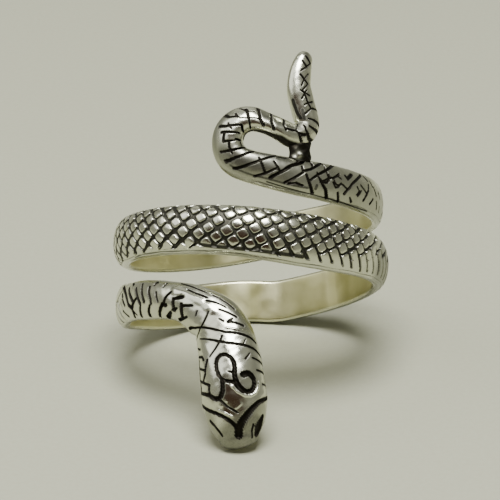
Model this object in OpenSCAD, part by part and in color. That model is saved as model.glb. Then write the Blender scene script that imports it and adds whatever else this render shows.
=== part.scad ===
// Snake wrap ring, cast in one piece. Millimetres.
// The snake is drawn flat, as the band would lie before it is bent, and is then wrapped round the finger.
// Flat places are [along, up]: along runs round the finger, up runs along the finger's axis.

/* [Finger] */
// Inner radius of the ring, where the finger goes
finger_r = 9.1; // [8.6:0.05:9.8]
// Radius at which the flat lengths are true, about the middle of the wall
wrap_r = 9.7; // [9.4:0.1:10.2]

/* [Band] */
// Height of the plain side wall under the domed back
rim_h = 0.35; // [0.2:0.05:0.5]
// Width of the rounding between the side wall and the inner face
inner_round = 0.28; // [0.15:0.01:0.4]
// Scales the width of the whole body
width_scale = 1; // [0.9:0.01:1.05]
// Scales the height of the whole back
height_scale = 1; // [0.8:0.01:1.2]

/* [Scales] */
// Height of a raised scale over the groove round it
scale_rise = 0.16; // [0.05:0.01:0.25]
// Distance between neighbouring scales along the body
scale_pitch = 1.3; // [1.2:0.05:2]

/* [Rest] */
// How far the finger axis leans back when the ring stands on its snout and its lowest turn
lean = 33.3; // [0:0.1:60]
// Place of the finger hole's middle above the floor's origin
hole_at = [0.025, 3.355, 8.656]; // [-30:0.001:30]

/* [Hidden] */
$fn = 96;

// Where the snout lies in the flat drawing, and the way that the body heads from it (90 = up the axis)
snout_at = [0.69, -16.25];
snout_heading = 77;

// Course of the body from snout to tail: [length of the stretch, heading at its end]
course = [
    [2.25, 84], [3.0, 83.5], [2.4, 77], [1.3, 61], [1.7, 26], [1.8, 12], [3.0, 7.2],
    [13.3, 7], [3.2, 10], [2.8, 9.5], [1.0, 8], [3.4, -4.5], [1.6, 8.5], [3.0, 7],
    [4.5, 5], [4.5, 1.5], [7, 0.5], [3, 3], [5, 7], [4, 4.5], [6, 2.2],
    [6, 2.5], [4, 6], [5, 8.5], [5, 10.5], [4, 10], [4, 4], [4, -2], [8, 0.5], [4, 2.5],
    [4, 5], [3.7, 13], [1.1, 22],
    [5.3, 197], [2.5, 208], [2.5, 76], [1.7, 74], [1.2, 92], [1.5, 106], [0.7, 100]
];

// Body size by distance from the snout: [distance, width, height of the back]
body = [
    [0, 0.8, 0.7], [0.3, 1.8, 1.0], [0.8, 2.8, 1.4], [1.75, 4.0, 1.9], [2.75, 4.6, 2.2],
    [3.75, 4.8, 2.4], [5.0, 4.7, 2.5], [6.25, 4.6, 2.4], [7.75, 4.4, 2.1], [9.25, 4.0, 1.75],
    [10.75, 3.55, 1.5], [13.25, 3.5, 1.35], [16.25, 3.6, 1.2], [20, 3.3, 1.1], [45, 3.3, 1.2],
    [56, 3.6, 1.3], [64, 3.95, 1.35], [72, 3.65, 1.35], [90, 3.45, 1.3], [104, 3.25, 1.0],
    [112, 3.1, 0.9], [118, 3.0, 1.0], [126, 2.75, 1.15], [130.4, 2.4, 1.25], [133, 2.4, 1.3],
    [135.4, 1.85, 1.2], [136.8, 1.6, 1.2], [138.8, 1.8, 1.2], [140.5, 1.85, 1.2], [142.5, 1.8, 1.1],
    [143.8, 1.6, 1.0], [144.9, 1.3, 0.9], [145.5, 0.9, 0.8], [145.95, 0.4, 0.6]
];

// Distances at which a section is set: [from, to, step]
stretches = [[0, 2, 0.35], [2, 14, 0.6], [14, 126, scale_pitch / 2], [126, 145.2, 0.4], [145.2, 145.95, 0.25]];

// Where the scales begin and end along the body, and how far they fade in and out
scales_from = 14;
scales_to = 126;
scales_fade = 4;

// Angles across the domed back at which a section has its points
back_steps = 10;
back_angles = [for (i = [0:back_steps]) 90 - 180 * i / back_steps];

// Bridge of metal between the tail's bend and the band beside it: place, radius and height
bridge_at = [118.3, 5.75];
bridge_r = 0.75;
bridge_h = 0.75;

// The rounding at the inner edge starts this far in and up, as shares of its width, and ends at the lip
round_in = 0.25;
round_up = 0.35;
lip = 0.03;

// Metal that reaches inside the finger hole before the hole is cut, and half the length of that cut
sole = 0.45;
hole_reach = 25;

ring_len = sum_to(len(course));

function sum_to(n) = n == 0 ? 0 : course[n - 1][0] + sum_to(n - 1);

// Value in column c of a table at x, on a smooth curve that never overshoots the rows
function rise(t, i, c) = (t[i + 1][c] - t[i][c]) / (t[i + 1][0] - t[i][0]);
function slope(t, i, c) =
    i == 0 || i == len(t) - 1 ? 0 :
    let (before = rise(t, i - 1, c), after = rise(t, i, c))
    before * after <= 0 ? 0 : 2 * before * after / (before + after);
function row_at(t, x, i = 0) = i >= len(t) - 2 || x < t[i + 1][0] ? i : row_at(t, x, i + 1);
function smooth(t, x, c) =
    let (i = row_at(t, x), d = t[i + 1][0] - t[i][0], k = min(max((x - t[i][0]) / d, 0), 1))
    t[i][c] * (1 + 2 * k) * (1 - k) * (1 - k) + t[i + 1][c] * k * k * (3 - 2 * k)
    + d * slope(t, i, c) * k * (1 - k) * (1 - k) - d * slope(t, i + 1, c) * k * k * (1 - k);

// A stretch of the course is an arc: its chord from one heading, after a length and a turn
function arc_step(length, from, turn) =
    let (half = turn / 2, chord = half == 0 ? length : length * sin(half) / (half * PI / 180))
    chord * [cos(from + half), sin(from + half)];
function heading_before(i) = i == 0 ? snout_heading : course[i - 1][1];
function turn_of(i) = course[i][1] - heading_before(i);
knots = [
    for (i = 0, p = snout_at; i <= len(course);
        p = i < len(course) ? p + arc_step(course[i][0], heading_before(i), turn_of(i)) : p,
        i = i + 1) p
];
function stretch_at(s, i = 0) =
    i >= len(course) - 1 || s < sum_to(i + 1) ? i : stretch_at(s, i + 1);
// [along, up, heading] of the body's middle line at distance s
function middle(s) =
    let (i = stretch_at(s), d = s - sum_to(i), from = heading_before(i),
        turn = turn_of(i) * d / course[i][0], p = knots[i] + arc_step(d, from, turn))
    [p[0], p[1], from + turn];

// Flat place and height over the inner face, wrapped round the finger
function wrap(along, up, z) =
    let (turn = along / wrap_r * 180 / PI, r = finger_r + z)
    [-r * sin(turn), -r * cos(turn), up];

// Scales stand up where the count of steps along and across is even
function scale_at(s, i) =
    let (fade = min(max(min(s - scales_from, scales_to - s) / scales_fade, 0), 1),
        step = round((s - scales_from) / (scale_pitch / 2)))
    i > 0 && i < back_steps && (step + i) % 2 == 0 ? scale_rise * fade : 0;

// Section at distance s, as wrapped points: the back from side to side, then the roundings and the sole
function section(s) =
    let (m = middle(s), w = width_scale * smooth(body, s, 1), t = height_scale * smooth(body, s, 2),
        edge = min(rim_h, t / 2), cut = min(inner_round, w / 5),
        back = [for (i = [0:back_steps])
            let (dome = edge + (t - edge) * cos(back_angles[i]))
            [w / 2 * sin(back_angles[i]), dome + scale_at(s, i) - scale_rise / 2]],
        out = w / 2 - cut * round_in, in = w / 2 - cut, up = cut * round_up,
        side = [[-out, up], [-in, lip], [-in, -sole], [in, -sole], [in, lip], [out, up]])
    [for (q = concat(back, side)) wrap(m[0] - q[0] * sin(m[2]), m[1] + q[0] * cos(m[2]), q[1])];

distances = concat([for (r = stretches) for (s = [r[0]:r[2]:r[1] - r[2] / 2]) s], [ring_len]);

// Surface through a list of sections, each end closed by a fan round its middle point.
// Its squares are halved along the grooves, so that every scale is a raised diamond.
module skin(rows, middles) {
    n = len(rows[0]);
    count = len(rows);
    points = concat([for (r = rows) for (p = r) p], middles);
    walls = [for (k = [0:count - 2]) for (i = [0:n - 1])
        let (a = k * n + i, b = k * n + (i + 1) % n)
        each (k + i) % 2 == 0 ? [[a, b, a + n], [b, b + n, a + n]] : [[a, b, b + n], [a, b + n, a + n]]];
    first = [for (i = [0:n - 1]) [count * n, (i + 1) % n, i]];
    last = [for (i = [0:n - 1]) [count * n + 1, (count - 1) * n + i, (count - 1) * n + (i + 1) % n]];
    polyhedron(points, concat(walls, first, last));
}

function on_middle(s) = let (m = middle(s)) wrap(m[0], m[1], rim_h);
module snake_body()
    skin([for (s = distances) section(s)], [on_middle(0), on_middle(ring_len)]);

module tail_bridge()
    rotate([0, 0, -bridge_at[0] / wrap_r * 180 / PI])
        translate([0, -finger_r + sole, bridge_at[1]])
            rotate([90, 0, 0]) cylinder(r = bridge_r, h = sole + bridge_h);

module snake_ring()
    color("silver")
        translate(hole_at) rotate([-lean, 0, 0])
            difference() {
                union() {
                    snake_body();
                    tail_bridge();
                }
                translate([0, 0, -hole_reach]) cylinder(r = finger_r, h = 2 * hole_reach);
            }

snake_ring();
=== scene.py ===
"""Snake wrap ring: the dressed casting, its floor, light and camera.

The snake is drawn flat and then bent round the finger. A place on it is (s, v) in millimetres: s is the distance from
the snout along the body's middle line, and v the length over the back from its crown. Seen from outside, v is positive
to the right of the way from snout to tail. The scene itself is in metres.
"""

import math

import bpy
import numpy as np
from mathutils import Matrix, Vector


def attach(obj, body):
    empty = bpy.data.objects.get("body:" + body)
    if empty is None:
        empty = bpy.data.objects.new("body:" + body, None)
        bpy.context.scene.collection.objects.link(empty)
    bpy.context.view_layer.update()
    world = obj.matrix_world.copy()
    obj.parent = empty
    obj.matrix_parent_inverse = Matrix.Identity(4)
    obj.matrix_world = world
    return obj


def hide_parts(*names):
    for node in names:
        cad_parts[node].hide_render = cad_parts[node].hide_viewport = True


bl_info = {
    "name": "Snake wrap ring",
    "version": (1, 0, 0),
    "blender": (4, 5, 0),
    "location": "View3D > Sidebar > Ring",
    "description": "Builds the engraved snake ring and its studio",
    "category": "Object",
}

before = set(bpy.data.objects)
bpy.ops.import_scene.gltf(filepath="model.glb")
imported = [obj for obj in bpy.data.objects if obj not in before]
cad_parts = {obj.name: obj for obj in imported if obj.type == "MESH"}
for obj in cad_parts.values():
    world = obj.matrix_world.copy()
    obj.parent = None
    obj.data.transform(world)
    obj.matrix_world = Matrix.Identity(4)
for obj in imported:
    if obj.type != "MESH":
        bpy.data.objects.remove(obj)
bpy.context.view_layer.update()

MM = 0.001

# ---------------------------------------------------------------- the snake's course

# Where the snout lies in the flat drawing (along, up), and the body's heading from it in degrees. Along runs round the
# finger, to the left seen from the front, and up runs along the finger.
SNOUT_AT = (0.69, -16.25)
SNOUT_HEADING = 77.0
# The course of the middle line: (length of the stretch, heading at its end)
COURSE = np.array([
    [2.25, 84], [3.0, 83.5], [2.4, 77], [1.3, 61], [1.7, 26], [1.8, 12], [3.0, 7.2],
    [13.3, 7], [3.2, 10], [2.8, 9.5], [1.0, 8], [3.4, -4.5], [1.6, 8.5], [3.0, 7],
    [4.5, 5], [4.5, 1.5], [7, 0.5], [3, 3], [5, 7], [4, 4.5], [6, 2.2],
    [6, 2.5], [4, 6], [5, 8.5], [5, 10.5], [4, 10], [4, 4], [4, -2], [8, 0.5], [4, 2.5],
    [4, 5], [3.7, 13], [1.1, 22],
    [5.3, 197], [2.5, 208], [2.5, 76], [1.7, 74], [1.2, 92], [1.5, 106], [0.85, 100]])
# The body's size: (distance, width, height of the back)
BODY = np.array([
    [0, 2.7, 1.25], [0.7, 2.95, 1.4], [1.75, 4.05, 1.9], [2.75, 4.6, 2.2],
    [3.75, 4.8, 2.42], [5.0, 4.7, 2.44], [6.25, 4.6, 2.25], [7.75, 4.4, 1.96], [9.25, 4.0, 1.68],
    [10.75, 3.55, 1.47], [13.25, 3.5, 1.35], [16.25, 3.6, 1.2], [20, 3.3, 1.1], [45, 3.3, 1.2],
    [56, 3.6, 1.3], [64, 3.95, 1.35], [72, 3.65, 1.35], [90, 3.45, 1.3], [104, 3.25, 1.0],
    [112, 3.1, 0.9], [118, 3.0, 1.0], [126, 2.75, 1.15], [130.4, 2.4, 1.25], [133, 2.4, 1.3],
    [135.4, 1.85, 1.2], [136.8, 1.6, 1.2], [138.8, 1.8, 1.2], [140.5, 1.85, 1.2], [142.5, 1.8, 1.1],
    [143.8, 1.6, 1.0], [145.05, 1.3, 0.9], [145.65, 0.9, 0.8], [146.1, 0.4, 0.6]])

KNOT_S = np.concatenate([[0], np.cumsum(COURSE[:, 0])])
HEADINGS = np.concatenate([[SNOUT_HEADING], COURSE[:, 1]])
LENGTH = KNOT_S[-1]


def arc(length, start, turn):
    """Chord of an arc: length times sin(half turn) over half turn, headed half the turn past the start."""
    chord = length * np.sinc(np.radians(turn / 2) / np.pi)
    way = np.radians(start + turn / 2)
    return chord * np.cos(way), chord * np.sin(way)


CHORDS = np.stack(arc(COURSE[:, 0], HEADINGS[:-1], np.diff(HEADINGS)), 1)
KNOTS = np.array(SNOUT_AT) + np.concatenate([[[0, 0]], np.cumsum(CHORDS, axis=0)])


def smooth(table, x, c):
    """Column c of a table at x: a cubic between its rows, whose slope at a row is the harmonic mean of the rises on
    both sides, or flat where they differ in sign."""
    t = np.asarray(table, float)
    d = np.diff(t[:, 0])
    r = np.diff(t[:, c]) / d
    both = r[:-1] * r[1:]
    m = np.zeros(len(t))
    m[1:-1] = np.where(both > 0, 2 * both / np.where(both > 0, r[:-1] + r[1:], 1), 0)
    i = np.clip(np.searchsorted(t[:, 0], x, side="right") - 1, 0, len(t) - 2)
    k = np.clip((x - t[i, 0]) / d[i], 0, 1)
    return (t[i, c] * (1 + 2 * k) * (1 - k) ** 2 + t[i + 1, c] * k * k * (3 - 2 * k)
            + d[i] * m[i] * k * (1 - k) ** 2 - d[i] * m[i + 1] * k * k * (1 - k))


def middle(s):
    """Along, up and heading of the middle line: the knot before s plus the chord of the arc run since."""
    i = np.clip(np.searchsorted(KNOT_S, s, side="right") - 1, 0, len(COURSE) - 1)
    d = s - KNOT_S[i]
    turn = (HEADINGS[i + 1] - HEADINGS[i]) * d / COURSE[i, 0]
    dx, dy = arc(d, HEADINGS[i], turn)
    return KNOTS[i, 0] + dx, KNOTS[i, 1] + dy, HEADINGS[i] + turn


def ease(x):
    """0 to 1 with flat ends: 3x squared less 2x cubed."""
    x = np.clip(x, 0, 1)
    return x * x * (3 - 2 * x)


# ---------------------------------------------------------------- the engraving

# Hand-cut strokes: (width at the start, width at the end, depth, [distance, offset from the crown, ...])
HEAD_STROKES = [
    # brows
    (0.20, 0.46, 0.17, [3.45, 3.1, 3.25, 2.35, 3.05, 1.75, 2.7, 1.3, 2.3, 0.88, 1.75, 0.42, 1.3, 0.15, 0.85, 0.05]),
    (0.20, 0.20, 0.14, [1.3, 0.1, 1.8, -0.22, 2.15, -0.58, 2.5, -1.08, 2.75, -1.55, 3.0, -2.0, 3.3, -2.5,
                        3.45, -2.9]),
    # left eye's line
    (0.10, 0.14, 0.08, [1.05, -1.1, 1.45, -1.28, 1.8, -1.5, 2.15, -1.85]),
    # right eye
    (0.30, 0.62, 0.16, [0.75, 1.35, 1.0, 1.5, 1.25, 1.62]), (0.62, 0.22, 0.16, [1.25, 1.62, 1.6, 1.82, 2.1, 2.1]),
    (0.10, 0.06, 0.08, [1.5, 1.2, 1.05, 1.0, 0.55, 0.95]),
    # scroll
    (0.42, 0.30, 0.17, [5.05, 0.95, 5.12, 1.2, 5.0, 1.45, 4.7, 1.6]),
    (0.26, 0.34, 0.17, [4.7, 1.6, 4.33, 1.62, 4.05, 1.5, 3.85, 1.3, 3.8, 1.04, 3.9, 0.8, 4.17, 0.56, 4.58, 0.4]),
    (0.26, 0.20, 0.16, [4.58, 0.4, 5.08, 0.38, 5.6, 0.44, 6.0, 0.44, 6.38, 0.29, 6.65, 0.0]),
    (0.22, 0.20, 0.16, [6.65, 0.0, 6.67, -0.3, 6.46, -0.55, 6.08, -0.7, 5.67, -0.7, 5.25, -0.62, 4.83, -0.43]),
    (0.24, 0.22, 0.16, [4.5, 0.38, 4.64, 0.0, 4.72, -0.25, 4.9, -0.45]),
    (0.20, 0.30, 0.16, [4.83, -0.43, 4.42, -0.43, 4.0, -0.48, 3.65, -0.63, 3.5, -0.85, 3.58, -1.1]),
    (0.26, 0.14, 0.14, [3.58, -1.1, 3.83, -1.42, 4.0, -1.75, 4.17, -2.25, 4.3, -2.8]),
    (0.20, 0.04, 0.10, [5.25, 0.33, 5.38, 0.0]), (0.10, 0.12, 0.07, [2.4, 0.25, 2.9, -0.33, 3.35, -0.67]),
    # ladder on the left cheek
    (0.14, 0.14, 0.10, [4.2, -2.4, 5.0, -2.5, 5.9, -2.5, 6.8, -2.35]),
    (0.13, 0.13, 0.11, [3.83, -1.42, 4.25, -1.45, 4.62, -1.38]),
    (0.13, 0.13, 0.12, [4.6, -1.35, 4.92, -2.0, 5.25, -2.75]),
    (0.13, 0.15, 0.12, [4.92, -2.0, 5.5, -1.67, 6.0, -1.54, 6.55, -1.3]),
    (0.13, 0.13, 0.12, [5.8, -1.65, 6.05, -2.2, 6.25, -2.7]),
    (0.16, 0.13, 0.12, [6.65, -1.65, 6.95, -1.8, 7.1, -2.4]), (0.14, 0.16, 0.12, [7.6, -1.9, 8.0, -2.4]),
    # ticks on the right cheek
    (0.10, 0.10, 0.10, [4.28, 3.1, 4.35, 2.4]), (0.13, 0.10, 0.11, [5.1, 3.1, 5.35, 2.0]),
    (0.14, 0.08, 0.11, [5.7, 3.1, 6.2, 1.75]), (0.12, 0.08, 0.08, [6.17, 1.25, 6.5, 1.6]),
    # cross lines over the nape
    (0.11, 0.14, 0.15, [6.2, 3.1, 6.4, 2.67, 6.83, 2.0, 7.05, 1.5, 7.2, 1.03, 7.46, 0.28, 7.75, -0.3]),
    (0.14, 0.07, 0.14, [7.75, -0.3, 8.17, -0.88, 8.7, -1.55]), (0.05, 0.05, 0.06, [7.22, 1.3, 7.5, 1.5]),
    (0.11, 0.05, 0.12, [8.05, 0.05, 7.67, -0.2, 7.25, -0.55, 6.75, -1.05]),
    (0.10, 0.12, 0.15, [7.2, 2.5, 7.58, 1.95, 7.8, 1.45, 8.04, 0.87, 8.25, 0.33, 8.67, -0.18, 9.17, -0.63]),
    (0.12, 0.14, 0.16, [9.17, -0.63, 9.75, -0.97, 10.33, -1.26, 10.83, -1.38]),
    (0.20, 0.20, 0.16, [10.9, -1.4, 11.1, -1.55]), (0.05, 0.11, 0.12, [10.1, 0.28, 9.96, -0.13, 9.8, -0.63]),
    (0.11, 0.15, 0.13, [9.8, -0.63, 9.7, -1.13, 9.46, -1.63, 9.1, -2.1]),
    (0.06, 0.05, 0.08, [10.83, -0.05, 10.78, -0.43]), (0.10, 0.10, 0.09, [8.3, 1.7, 8.5, 1.4, 8.8, 0.9]),
    (0.15, 0.05, 0.10, [8.82, 0.8, 8.9, 1.2]), (0.09, 0.09, 0.08, [8.9, 1.5, 9.3, 1.15, 9.7, 0.85]),
    (0.09, 0.07, 0.06, [9.0, 0.55, 9.25, 0.4]), (0.08, 0.12, 0.10, [9.6, 1.3, 10.1, 1.1, 10.6, 0.9]),
    (0.12, 0.08, 0.10, [10.7, 1.12, 11.5, 1.16, 12.1, 1.28]),
    (0.08, 0.11, 0.10, [10.9, 1.5, 11.5, 1.57, 12.2, 1.68, 12.8, 1.8]),
    (0.09, 0.09, 0.08, [9.3, 1.75, 9.9, 1.6, 10.5, 1.5]),
]
NECK_STROKES = [
    (0.14, 0.18, 0.13, [11.35, 0.18, 12.0, 0.0, 12.15, 0.06]),
    (0.21, 0.23, 0.15, [12.17, 0.1, 12.05, -0.4, 11.9, -0.88]),
    (0.13, 0.23, 0.13, [11.5, -0.72, 11.85, -0.92, 12.3, -1.12]),
    (0.26, 0.16, 0.13, [12.25, 0.62, 12.6, 0.48, 12.9, 0.42]),
    (0.18, 0.23, 0.14, [12.9, 0.42, 12.85, 0.0, 12.7, -0.4]), (0.13, 0.13, 0.10, [12.5, -0.25, 12.9, -0.4]),
    (0.13, 0.18, 0.13, [13.25, 0.92, 13.62, 0.42, 13.66, 0.1]),
    (0.26, 0.17, 0.15, [13.5, -0.1, 13.8, -0.05, 14.1, -0.6, 14.28, -1.05]),
    (0.21, 0.34, 0.14, [13.1, -0.63, 13.46, -1.1]), (0.13, 0.10, 0.10, [14.57, 0.8, 14.4, 0.37, 14.25, 0.1]),
    (0.20, 0.17, 0.13, [15.42, 1.2, 15.3, 0.74, 15.0, 0.24, 14.94, -0.05]),
    (0.16, 0.22, 0.13, [15.1, -0.2, 15.3, -0.63, 15.35, -1.0]), (0.29, 0.16, 0.12, [14.95, 1.6, 15.0, 1.4]),
    (0.13, 0.13, 0.10, [14.0, 1.65, 14.07, 1.28]), (0.16, 0.22, 0.14, [16.5, 1.5, 16.16, 0.83, 15.75, 0.12]),
    (0.16, 0.23, 0.14, [17.07, 1.15, 16.7, 0.65, 16.22, 0.0]),
    (0.13, 0.21, 0.13, [16.16, -0.15, 16.3, -0.54, 16.4, -1.0]),
    (0.16, 0.29, 0.15, [16.75, 0.35, 17.1, 0.05, 17.4, -0.35]),
    (0.26, 0.16, 0.14, [17.4, -0.35, 17.35, -0.8, 17.5, -1.1]),
    (0.26, 0.17, 0.14, [17.1, 0.05, 17.44, 0.4, 18.0, 0.85, 18.3, 1.2]),
    (0.26, 0.21, 0.15, [17.4, -0.35, 17.9, -0.08, 18.2, 0.37, 18.6, 0.75, 19.1, 1.08, 19.9, 1.4]),
    (0.13, 0.08, 0.08, [17.25, -0.6, 16.95, -0.88]), (0.16, 0.10, 0.10, [17.7, 1.45, 18.2, 1.7]),
    (0.18, 0.13, 0.12, [19.35, 0.75, 19.0, 0.25, 18.6, -0.1]), (0.13, 0.10, 0.10, [18.4, -0.95, 19.1, -0.5]),
]
TAIL_STROKES = [
    # right part of the upper turn, where the scales break up
    (0.15, 0.15, 0.13, [119.6, 0.6, 119.7, 0.14, 120.3, -0.75]), (0.13, 0.14, 0.12, [118.9, -0.35, 119.3, -0.8]),
    (0.12, 0.10, 0.10, [119.9, -0.17, 120.75, 0.33]), (0.10, 0.14, 0.08, [118.7, 0.6, 118.3, 0.05]),
    (0.10, 0.12, 0.08, [118.2, -0.4, 117.9, -0.9]), (0.12, 0.08, 0.08, [117.7, 0.4, 117.35, 0.0]),
    (0.10, 0.10, 0.08, [119.2, 1.0, 118.9, 0.6]), (0.10, 0.08, 0.08, [117.3, -0.6, 117.1, -1.0]),
    (0.08, 0.10, 0.08, [120.0, 1.2, 119.6, 0.9]),
    (0.14, 0.18, 0.14, [120.4, 1.25, 121.0, 0.83, 121.65, 0.33, 122.2, -0.33, 122.5, -0.68]),
    (0.09, 0.11, 0.10, [123.55, 0.1, 123.4, -0.15, 123.1, -0.2, 122.9, 0.0]),
    (0.08, 0.10, 0.10, [122.9, 0.35, 123.2, 0.5, 123.5, 0.4]), (0.10, 0.06, 0.10, [121.2, 0.1, 120.8, -0.3]),
    (0.11, 0.09, 0.11, [122.2, -0.33, 122.65, -0.1, 122.9, 0.0, 123.1, -0.3, 123.4, -0.4, 123.65, -0.05]),
    (0.11, 0.14, 0.12, [121.6, 1.0, 122.2, 0.45, 122.45, 0.7]), (0.12, 0.08, 0.10, [120.9, -0.17, 121.2, -0.5]),
    (0.10, 0.16, 0.12, [121.85, -0.86, 121.6, -1.12]), (0.14, 0.14, 0.13, [123.1, -0.75, 122.8, -1.4]),
    (0.20, 0.15, 0.15, [123.2, 1.7, 123.8, 1.1, 124.2, 0.78, 124.9, 0.28, 125.5, -0.25]),
    (0.20, 0.14, 0.15, [124.2, 1.7, 124.9, 1.05, 125.55, 0.55, 126.1, 0.33]),
    (0.14, 0.20, 0.15, [126.1, 0.2, 126.7, -0.33, 127.25, -0.8]),
    (0.26, 0.20, 0.17, [125.7, 1.7, 126.2, 1.05, 127.0, 0.55, 127.55, 0.0, 128.1, -0.5, 128.35, -0.75]),
    (0.10, 0.11, 0.12, [124.25, 0.8, 124.05, 0.22]),
    (0.14, 0.14, 0.13, [123.05, 0.72, 123.6, 0.28, 124.0, 0.2, 124.3, -0.05, 124.7, -0.22]),
    (0.16, 0.22, 0.15, [124.75, -0.05, 124.5, -0.4, 124.2, -0.7, 123.9, -1.33]),
    (0.14, 0.20, 0.14, [125.85, 0.1, 125.6, -0.4, 125.15, -1.18]), (0.08, 0.10, 0.10, [125.5, 1.35, 125.4, 0.9]),
    (0.12, 0.12, 0.12, [126.2, 0.67, 126.1, 0.2]), (0.12, 0.10, 0.10, [126.5, 1.2, 126.6, 0.8]),
    (0.13, 0.12, 0.12, [124.0, 0.45, 123.93, 0.12, 124.1, -0.15, 124.4, -0.24, 124.7, -0.12, 124.87, 0.12]),
    (0.12, 0.09, 0.12, [124.3, 0.75, 124.28, 1.0, 124.4, 1.25]), (0.12, 0.09, 0.12, [124.95, 0.2, 125.0, 0.42]),
    (0.12, 0.09, 0.12, [125.3, 0.85, 125.35, 1.15, 125.5, 1.45]), (0.12, 0.10, 0.12, [126.12, 0.35, 126.2, 0.62]),
    (0.12, 0.09, 0.12, [126.45, 0.85, 126.6, 1.2]), (0.12, 0.14, 0.12, [126.0, -0.75, 126.5, -0.65, 127.0, -0.85]),
    (0.10, 0.14, 0.12, [128.3, 0.5, 127.95, 0.1, 127.7, -0.2]),
    (0.10, 0.14, 0.12, [129.4, 0.55, 129.1, 0.1, 128.8, -0.4]), (0.12, 0.18, 0.12, [122.3, 0.55, 121.75, 0.95]),
    (0.10, 0.12, 0.10, [120.7, -0.1, 121.05, -0.55]),
    # long slanting cuts of the loop's lower branch
    (0.13, 0.20, 0.15, [128.2, 1.15, 129.0, 0.55, 129.9, -0.1, 130.75, -0.8]),
    (0.16, 0.20, 0.15, [129.9, 1.05, 130.55, 0.45, 131.05, -0.1, 131.35, -0.75]),
    (0.30, 0.22, 0.18, [130.95, 1.4, 131.15, 1.0, 131.5, 0.44]),
    (0.22, 0.10, 0.16, [131.5, 0.44, 131.8, -0.2, 131.95, -0.7]),
    (0.14, 0.16, 0.13, [128.1, 0.0, 128.8, -0.55, 129.4, -0.9]),
    # cross cuts round the loop
    (0.10, 0.14, 0.12, [131.4, 0.0, 131.9, 0.07, 132.45, 0.16]),
    (0.16, 0.15, 0.14, [132.5, 0.5, 132.5, -0.25, 133.05, -0.25]), (0.32, 0.24, 0.16, [132.6, 0.95, 132.7, 0.7]),
    (0.20, 0.13, 0.15, [133.6, 0.72, 133.3, 0.25, 133.1, -0.55]), (0.26, 0.18, 0.15, [134.2, 0.85, 134.45, 0.4]),
    (0.16, 0.13, 0.14, [134.4, 0.4, 133.9, 0.07, 133.55, -0.38, 133.4, -1.0]),
    (0.12, 0.08, 0.11, [133.6, 0.05, 133.8, -0.4]), (0.10, 0.14, 0.13, [134.55, -0.28, 134.1, -0.75, 134.0, -1.3]),
    (0.10, 0.07, 0.09, [134.5, -0.3, 134.5, -0.75]),
    # rings and cross cuts of the loop's upper branch
    (0.14, 0.13, 0.14, [135.3, 0.85, 135.2, 0.07, 135.1, -0.85]),
    (0.06, 0.06, 0.08, [134.6, -0.15, 135.1, 0.03, 135.95, -0.02]),
    (0.20, 0.13, 0.14, [136.4, 0.35, 136.05, 0.0, 135.8, -0.65, 135.7, -1.15]),
    (0.16, 0.12, 0.13, [137.2, 0.35, 136.85, -0.1, 136.7, -0.65, 136.6, -1.1]),
    (0.12, 0.12, 0.12, [138.0, 0.02, 137.7, -0.3, 137.6, -0.95]),
    (0.14, 0.12, 0.13, [138.0, -0.1, 138.7, -0.25, 139.05, 0.03]),
    (0.22, 0.16, 0.15, [139.05, 0.03, 139.35, 0.15, 139.55, 0.2]),
    (0.07, 0.05, 0.05, [138.7, -0.25, 138.9, -0.65, 139.4, -1.0]),
    (0.06, 0.06, 0.06, [134.8, -1.1, 135.05, -0.65, 135.6, -0.56]),
    # the bend and the tip
    (0.16, 0.10, 0.14, [139.7, 1.3, 139.5, 0.5, 139.6, -0.13, 139.85, -0.5]),
    (0.10, 0.10, 0.10, [139.1, 0.6, 138.95, 0.0]), (0.12, 0.12, 0.13, [140.1, 0.9, 140.08, -0.1]),
    (0.11, 0.11, 0.13, [140.42, 0.9, 140.55, 0.4, 140.75, -0.2]),
    (0.09, 0.12, 0.12, [141.3, 0.95, 141.5, 0.25, 141.2, -0.3]),
    (0.09, 0.09, 0.11, [141.45, 0.22, 142.0, 0.08, 142.6, 0.05]), (0.11, 0.09, 0.12, [141.97, 0.5, 141.85, -0.2]),
    (0.10, 0.08, 0.12, [142.35, -0.25, 142.9, 0.3]), (0.10, 0.08, 0.12, [142.45, 0.4, 142.95, -0.2]),
    (0.10, 0.09, 0.12, [142.95, 0.0, 143.4, 0.48, 144.1, -0.2]),
    (0.09, 0.09, 0.12, [143.3, -0.05, 143.75, 0.15, 144.25, 0.42]),
    (0.10, 0.10, 0.12, [144.4, -0.18, 144.75, 0.15, 145.2, 0.42]),
    (0.10, 0.10, 0.12, [145.2, 0.42, 145.4, 0.15, 145.6, -0.1]),
    (0.11, 0.09, 0.12, [145.15, -0.25, 144.95, -0.02, 144.75, 0.2]),
]
STROKES = HEAD_STROKES + NECK_STROKES + TAIL_STROKES

# Section of a stroke, in its half widths: where its wall meets the surface, how broad the wall is, its greatest depth
WALL_END, WALL_BROAD, STEEPEST = 1.15, 0.8, 0.95
# Faint black beside a stroke, oxide stain and painted shade that falls off from the cut's edge: how far it goes (mm),
# and how black it is
OXIDE_SHADE_HALO, OXIDE_SHADE_BLACK = 0.20, 0.45

# Raised rims and small lumps between the cuts: (width, height, [distance, offset, ...])
RIDGES = [
    # rim under the scroll's right arm, and lumps in front of it
    (0.26, 0.07, [4.5, 2.0, 4.05, 1.86, 3.68, 1.58, 3.50, 1.2, 3.55, 0.82, 3.85, 0.42, 4.3, 0.12]),
    (0.36, 0.03, [3.0, 0.5, 2.75, 0.2]), (0.40, 0.03, [3.3, -0.35, 3.0, -0.75]),
    # rims along the brows
    (0.22, 0.05, [2.7, -0.9, 2.45, -0.5, 2.15, -0.1]), (0.22, 0.05, [1.15, 0.55, 1.7, 0.82, 2.15, 1.2]),
    # rim over the nape's cross line, and the crease down the neck
    (0.22, 0.05, [7.9, 1.9, 8.15, 1.2, 8.5, 0.55]), (0.9, 0.07, [10.0, 0.45, 11.0, 0.7, 12.0, 0.9, 13.0, 1.05]),
]
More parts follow.
